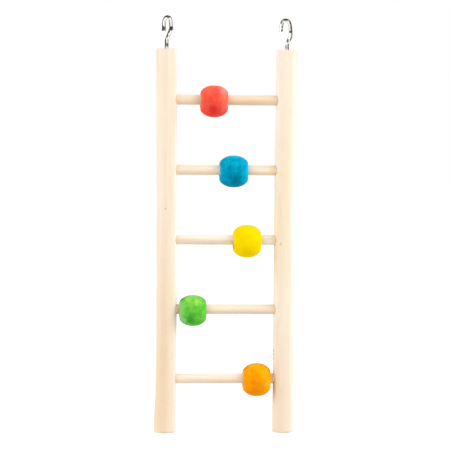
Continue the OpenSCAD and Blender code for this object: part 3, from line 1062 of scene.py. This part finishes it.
# Painted dark reflections on the wire: middle along X and Z, reach along X and Z, in millimetres,
# and strength
WIRE_PAINTED_REFLECTIONS = [
    (-36.6, 261.2, 5.4, 3.0, 0.97),
    (-40.9, 257.0, 1.4, 7.0, 0.95),
    (-40.2, 252.6, 1.7, 2.6, 0.95),
    (-38.4, 252.4, 1.2, 2.6, 0.97),
    (-34.6, 252.8, 2.7, 1.9, 0.97),
    (-36.2, 251.4, 1.0, 1.8, 0.9),
    (-37.3, 249.0, 0.9, 2.6, 0.9),
    (-38.6, 245.0, 0.9, 8.0, 0.9),
    (-37.2, 242.6, 1.2, 1.7, 0.85),
    (36.6, 260.2, 5.4, 3.0, 0.97),
    (33.2, 258.2, 1.9, 2.6, 0.8),
    (40.0, 258.2, 2.0, 3.4, 0.95),
    (41.0, 255.0, 2.2, 6.4, 0.97),
    (39.7, 251.4, 1.4, 1.4, 0.9),
    (40.0, 246.2, 1.1, 2.6, 0.9),
    (37.8, 246.2, 0.9, 2.6, 0.85),
    (37.1, 242.0, 0.95, 2.6, 0.5),
    (36.2, 242.6, 0.7, 2.8, 0.3),
    (34.0, 256.2, 0.6, 0.8, 0.8),
    (34.0, 254.6, 0.6, 0.8, 0.8),
    (34.0, 252.2, 0.7, 1.0, 0.9),
]

wire = bright_wire(WIRE_PAINTED_REFLECTIONS)
for node, hook in HOOKS.items():
    make_hook(node, **hook).data.materials.append(wire)


# Studio

FLOOR_HEIGHT = -0.22
FLOOR_REACH = 12.0

# The light that the floor makes up for near the ladder and far from it, and how far those are
MADE_UP = (0.3, 0.64)
MADE_UP_REACH = (0.4, 2.4)

# The light from all round at the horizon, and how much more comes from straight above
WORLD_LEVEL = 0.59
SKY_LEVEL = 0.2

# The black cards round a hook: how far they are from its rail's middle, from where to where they
# reach along Y, how far below the rail's top they start, and their height
CARD_AWAY = 0.03
CARD_FRONT = -0.02
CARD_BACK = 0.04
CARD_BELOW = 0.004
CARD_HEIGHT = 0.05

# The camera stands a little to the left of the ladder and looks slightly down and to the right
CAMERA_LENS = 139.7
CAMERA_PLACE = (-0.0686, -1.0909, 0.1891)
CAMERA_TURN = math.radians(-3.58)
CAMERA_TILT = math.radians(-3.07)
CAMERA_ROLL = math.radians(-0.47)


def shown_rays(tree):
    """1 for the rays that see the background: from the camera, a shine or a clear piece."""
    path = add(tree, "ShaderNodeLightPath").outputs
    some = sums(tree, "MAXIMUM", path["Is Camera Ray"], path["Is Glossy Ray"])
    return sums(tree, "MAXIMUM", some, path["Is Transmission Ray"])


def sheet(name, corners):
    """A flat four-cornered stage piece."""
    mesh = bpy.data.meshes.new(name)
    mesh.from_pydata(corners, [], [(0, 1, 2, 3)])
    piece = bpy.data.objects.new(name, mesh)
    bpy.context.scene.collection.objects.link(piece)
    return piece


def make_floor():
    """A wide pale floor below the hanging ladder. It shows white, and keeps the ladder's shadow.

    The light that it lacks away from the lamps is made up where it is seen.
    """
    reach, low = FLOOR_REACH, FLOOR_HEIGHT
    floor = sheet("floor", [
        (-reach, -reach, low), (reach, -reach, low), (reach, reach, low), (-reach, reach, low)])
    material, tree, shader = blank_material("pale floor")
    made_up = spread(tree, length_of(tree, object_place(tree)), *MADE_UP_REACH, *MADE_UP)
    fill(tree, shader, {
        "Base Color": (0.8, 0.8, 0.8, 1),
        "Roughness": 0.9,
        "Specular IOR Level": 0.0,
        "Emission Color": WHITE,
        "Emission Strength": sums(tree, "MULTIPLY", shown_rays(tree), made_up),
    })
    floor.data.materials.append(material)


def make_surroundings():
    """Pale light all round, a little stronger from above. What shows of it is white."""
    world = bpy.data.worlds.new("studio")
    bpy.context.scene.world = world
    world.use_nodes = True
    tree = world.node_tree
    background = next(made for made in tree.nodes if made.type == "BACKGROUND")
    towards = add(tree, "ShaderNodeTexCoord").outputs["Generated"]
    height = add(tree, "ShaderNodeSeparateXYZ", {0: towards}).outputs["Z"]
    level = sums(tree, "MULTIPLY_ADD", height, SKY_LEVEL, WORLD_LEVEL)
    missing = sums(tree, "SUBTRACT", 1.0, level)
    strength = sums(tree, "MULTIPLY_ADD", shown_rays(tree), missing, level)
    fill(tree, background, {"Color": WHITE, "Strength": strength})


def add_black_card(name, corners):
    """A black card that only a shine sees, which gives bright wire its dark lines."""
    card = sheet(name, corners)
    material, tree, shader = blank_material(name)
    fill(tree, shader, {"Base Color": (0.012, 0.01, 0.008, 1), "Specular IOR Level": 0.0})
    card.data.materials.append(material)
    card.visible_camera = False
    card.visible_diffuse = False
    card.visible_transmission = False
    card.visible_shadow = False


def add_hood(rail, side):
    """Black cards beside the hook of a rail, on its outer side, and above it."""
    front, back = CARD_FRONT, CARD_BACK
    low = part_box(rail)[1].z - CARD_BELOW
    high = low + CARD_HEIGHT
    left = middle(rail).x - CARD_AWAY
    right = middle(rail).x + CARD_AWAY
    outer = right if side > 0 else left
    add_black_card(f"{rail} side card", [
        (outer, front, low), (outer, back, low), (outer, back, high), (outer, front, high)])
    add_black_card(f"{rail} top card", [
        (left, front, high), (right, front, high), (right, back, high), (left, back, high)])


def add_softbox(name, place, size, level):
    """A square soft light aimed at the ladder's middle.

    Level is the share of full brightness that it alone gives a surface that faces it there: its
    power is that share times (pi times distance) squared.
    """
    aim = (cad_lowest + cad_highest) / 2 - Vector(place)
    lamp = bpy.data.lights.new(name, "AREA")
    lamp.shape = "SQUARE"
    lamp.size = size
    lamp.energy = level * (math.pi * aim.length) ** 2
    box = bpy.data.objects.new(name, lamp)
    box.location = place
    box.rotation_euler = aim.to_track_quat("-Z", "Y").to_euler()
    box.visible_camera = False
    bpy.context.scene.collection.objects.link(box)


def add_camera():
    """A level camera that looks along +Y, rolled, tilted and turned, and then put in its place."""
    camera = bpy.data.cameras.new("camera")
    camera.sensor_width = 36.0
    camera.lens = CAMERA_LENS
    level = Matrix.Rotation(math.radians(90), 4, "X")
    roll = Matrix.Rotation(CAMERA_ROLL, 4, "Y")
    tilt = Matrix.Rotation(CAMERA_TILT, 4, "X")
    turn = Matrix.Rotation(CAMERA_TURN, 4, "Z")
    place = Matrix.Translation(CAMERA_PLACE)
    stand = bpy.data.objects.new("camera", camera)
    stand.matrix_world = place @ turn @ tilt @ roll @ level
    bpy.context.scene.collection.objects.link(stand)
    bpy.context.scene.camera = stand


make_floor()
make_surroundings()
add_softbox("key softbox", place=(0.96, -0.38, 0.68), size=0.6, level=0.54)
add_softbox("fill softbox", place=(-0.9, -0.5, 0.66), size=0.8, level=0.38)
for node, side in RAILS.items():
    add_hood(node, side)
add_camera()
bpy.context.scene.view_settings.view_transform = "Standard"
